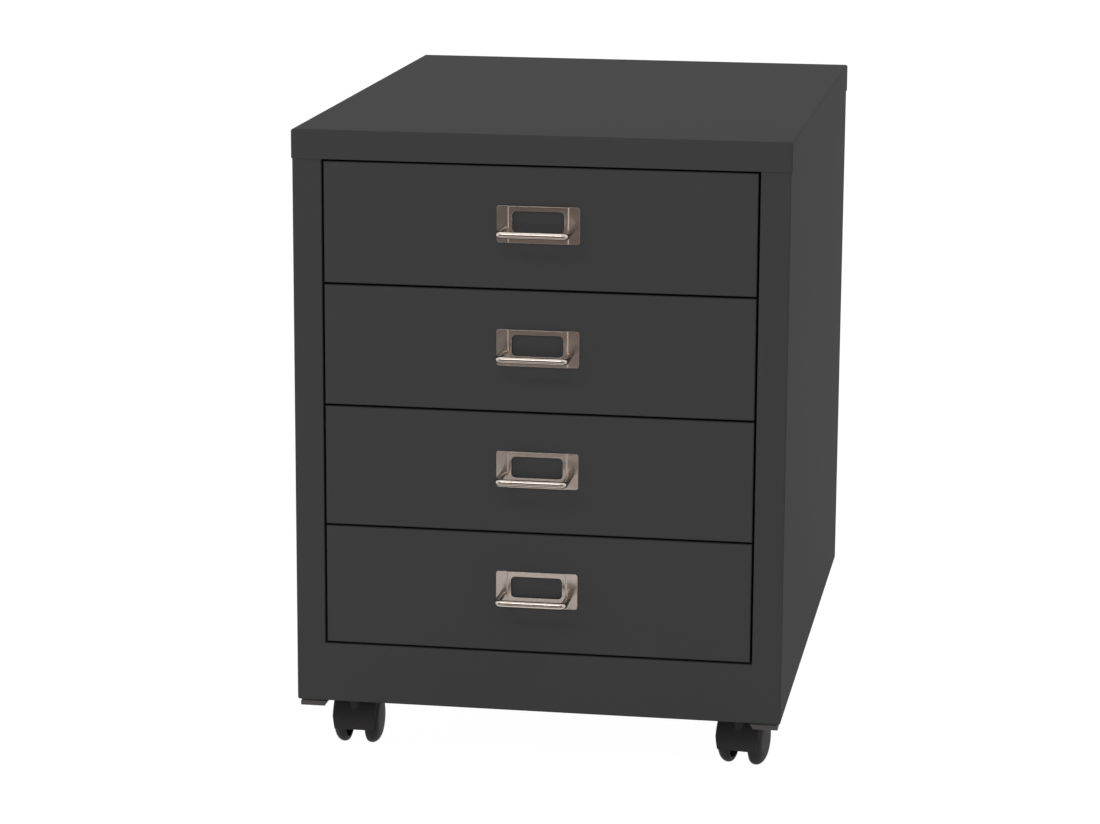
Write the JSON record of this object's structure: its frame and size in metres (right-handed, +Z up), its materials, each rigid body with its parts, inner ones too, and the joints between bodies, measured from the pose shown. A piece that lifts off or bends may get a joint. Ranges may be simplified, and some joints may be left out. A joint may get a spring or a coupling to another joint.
{
  "type": "mobile drawer cabinet",
  "caption": "Low steel office pedestal on swivelling twin-wheel casters, with flush drawers on telescopic runners, label-holder pulls and a flat folded top cap.",
  "frame": {"origin": "on the floor, below the middle of the whole object's box", "axes": "+X to the right seen from the front, +Y from the drawer fronts to the back panel, +Z up"},
  "size_m": [0.4618, 0.6622, 0.607],
  "materials": {
    "charcoal_paint": "charcoal powder coat, fine texture, low sheen",
    "satin_nickel": "satin nickel plate with warm reflections",
    "zinc_plate": "bright zinc plate on cold-rolled steel",
    "black_nylon": "moulded black nylon, slightly glossy",
    "grey_plastic": "moulded dark grey plastic"
  },
  "bodies": {
    "cabinet": {"body_wrap": "charcoal_paint", "top_cap": "charcoal_paint", "back_panel": "charcoal_paint", "back_screws": "zinc_plate", "base_panel": "charcoal_paint", "corner_feet": "grey_plastic", "caster_doublers": "zinc_plate", "caster_stems": "zinc_plate", "caster_nuts": "zinc_plate", "runner_brackets": "zinc_plate", "cabinet_runners": "zinc_plate"},
    "drawer_1": {"drawer_1_front": "charcoal_paint", "drawer_1_tray": "charcoal_paint", "drawer_1_label_holder": "satin_nickel", "drawer_1_pull": "satin_nickel", "drawer_1_pull_nuts": "zinc_plate", "drawer_1_runners": "zinc_plate"},
    "drawer_1_middle": {"drawer_1_middle_runners": "zinc_plate"},
    "drawer_2": {"drawer_2_front": "charcoal_paint", "drawer_2_tray": "charcoal_paint", "drawer_2_label_holder": "satin_nickel", "drawer_2_pull": "satin_nickel", "drawer_2_pull_nuts": "zinc_plate", "drawer_2_runners": "zinc_plate"},
    "drawer_2_middle": {"drawer_2_middle_runners": "zinc_plate"},
    "drawer_3": {"drawer_3_front": "charcoal_paint", "drawer_3_tray": "charcoal_paint", "drawer_3_label_holder": "satin_nickel", "drawer_3_pull": "satin_nickel", "drawer_3_pull_nuts": "zinc_plate", "drawer_3_runners": "zinc_plate"},
    "drawer_3_middle": {"drawer_3_middle_runners": "zinc_plate"},
    "drawer_4": {"drawer_4_front": "charcoal_paint", "drawer_4_tray": "charcoal_paint", "drawer_4_label_holder": "satin_nickel", "drawer_4_pull": "satin_nickel", "drawer_4_pull_nuts": "zinc_plate", "drawer_4_runners": "zinc_plate"},
    "drawer_4_middle": {"drawer_4_middle_runners": "zinc_plate"},
    "front_left_caster": {"front_left_caster_hood": "black_nylon", "front_left_caster_axle": "zinc_plate"},
    "front_left_left_wheel": {"front_left_caster_left_wheel": "black_nylon"},
    "front_left_right_wheel": {"front_left_caster_right_wheel": "black_nylon"},
    "front_right_caster": {"front_right_caster_hood": "black_nylon", "front_right_caster_axle": "zinc_plate"},
    "front_right_left_wheel": {"front_right_caster_left_wheel": "black_nylon"},
    "front_right_right_wheel": {"front_right_caster_right_wheel": "black_nylon"},
    "rear_left_caster": {"rear_left_caster_hood": "black_nylon", "rear_left_caster_axle": "zinc_plate"},
    "rear_left_left_wheel": {"rear_left_caster_left_wheel": "black_nylon"},
    "rear_left_right_wheel": {"rear_left_caster_right_wheel": "black_nylon"},
    "rear_right_caster": {"rear_right_caster_hood": "black_nylon", "rear_right_caster_axle": "zinc_plate"},
    "rear_right_left_wheel": {"rear_right_caster_left_wheel": "black_nylon"},
    "rear_right_right_wheel": {"rear_right_caster_right_wheel": "black_nylon"}
  },
  "joints": [
    {"name": "drawer_1_slide", "type": "slide", "parent": "cabinet", "child": "drawer_1", "axis": [0, -1, 0], "range_m": [0, 0.45]},
    {"name": "drawer_1_middle_slide", "type": "slide", "parent": "cabinet", "child": "drawer_1_middle", "axis": [0, -1, 0], "range_m": [0, 0.225]},
    {"name": "drawer_2_slide", "type": "slide", "parent": "cabinet", "child": "drawer_2", "axis": [0, -1, 0], "range_m": [0, 0.45]},
    {"name": "drawer_2_middle_slide", "type": "slide", "parent": "cabinet", "child": "drawer_2_middle", "axis": [0, -1, 0], "range_m": [0, 0.225]},
    {"name": "drawer_3_slide", "type": "slide", "parent": "cabinet", "child": "drawer_3", "axis": [0, -1, 0], "range_m": [0, 0.45]},
    {"name": "drawer_3_middle_slide", "type": "slide", "parent": "cabinet", "child": "drawer_3_middle", "axis": [0, -1, 0], "range_m": [0, 0.225]},
    {"name": "drawer_4_slide", "type": "slide", "parent": "cabinet", "child": "drawer_4", "axis": [0, -1, 0], "range_m": [0, 0.45]},
    {"name": "drawer_4_middle_slide", "type": "slide", "parent": "cabinet", "child": "drawer_4_middle", "axis": [0, -1, 0], "range_m": [0, 0.225]},
    {"name": "front_left_caster_swivel", "type": "hinge", "parent": "cabinet", "child": "front_left_caster", "pos_m": [-0.186, -0.23605, 0.062], "axis": [0, 0, 1], "continuous": true},
    {"name": "front_left_left_wheel_spin", "type": "hinge", "parent": "front_left_caster", "child": "front_left_left_wheel", "pos_m": [-0.186, -0.21705, 0.025], "axis": [1, 0, 0], "continuous": true},
    {"name": "front_left_right_wheel_spin", "type": "hinge", "parent": "front_left_caster", "child": "front_left_right_wheel", "pos_m": [-0.186, -0.21705, 0.025], "axis": [1, 0, 0], "continuous": true},
    {"name": "front_right_caster_swivel", "type": "hinge", "parent": "cabinet", "child": "front_right_caster", "pos_m": [0.186, -0.23605, 0.062], "axis": [0, 0, 1], "continuous": true},
    {"name": "front_right_left_wheel_spin", "type": "hinge", "parent": "front_right_caster", "child": "front_right_left_wheel", "pos_m": [0.18914, -0.21731, 0.025], "axis": [0.9863, -0.165, 0], "continuous": true},
    {"name": "front_right_right_wheel_spin", "type": "hinge", "parent": "front_right_caster", "child": "front_right_right_wheel", "pos_m": [0.18914, -0.21731, 0.025], "axis": [0.9863, -0.165, 0], "continuous": true},
    {"name": "rear_left_caster_swivel", "type": "hinge", "parent": "cabinet", "child": "rear_left_caster", "pos_m": [-0.186, 0.27395, 0.062], "axis": [0, 0, 1], "continuous": true},
    {"name": "rear_left_left_wheel_spin", "type": "hinge", "parent": "rear_left_caster", "child": "rear_left_left_wheel", "pos_m": [-0.186, 0.29295, 0.025], "axis": [1, 0, 0], "continuous": true},
    {"name": "rear_left_right_wheel_spin", "type": "hinge", "parent": "rear_left_caster", "child": "rear_left_right_wheel", "pos_m": [-0.186, 0.29295, 0.025], "axis": [1, 0, 0], "continuous": true},
    {"name": "rear_right_caster_swivel", "type": "hinge", "parent": "cabinet", "child": "rear_right_caster", "pos_m": [0.186, 0.27395, 0.062], "axis": [0, 0, 1], "continuous": true},
    {"name": "rear_right_left_wheel_spin", "type": "hinge", "parent": "rear_right_caster", "child": "rear_right_left_wheel", "pos_m": [0.186, 0.29295, 0.025], "axis": [1, 0, 0], "continuous": true},
    {"name": "rear_right_right_wheel_spin", "type": "hinge", "parent": "rear_right_caster", "child": "rear_right_right_wheel", "pos_m": [0.186, 0.29295, 0.025], "axis": [1, 0, 0], "continuous": true}
  ],
  "couplings": [
    {"joint": "drawer_1_middle_slide", "follows": "drawer_1_slide", "ratio": 0.5},
    {"joint": "drawer_2_middle_slide", "follows": "drawer_2_slide", "ratio": 0.5},
    {"joint": "drawer_3_middle_slide", "follows": "drawer_3_slide", "ratio": 0.5},
    {"joint": "drawer_4_middle_slide", "follows": "drawer_4_slide", "ratio": 0.5}
  ]
}
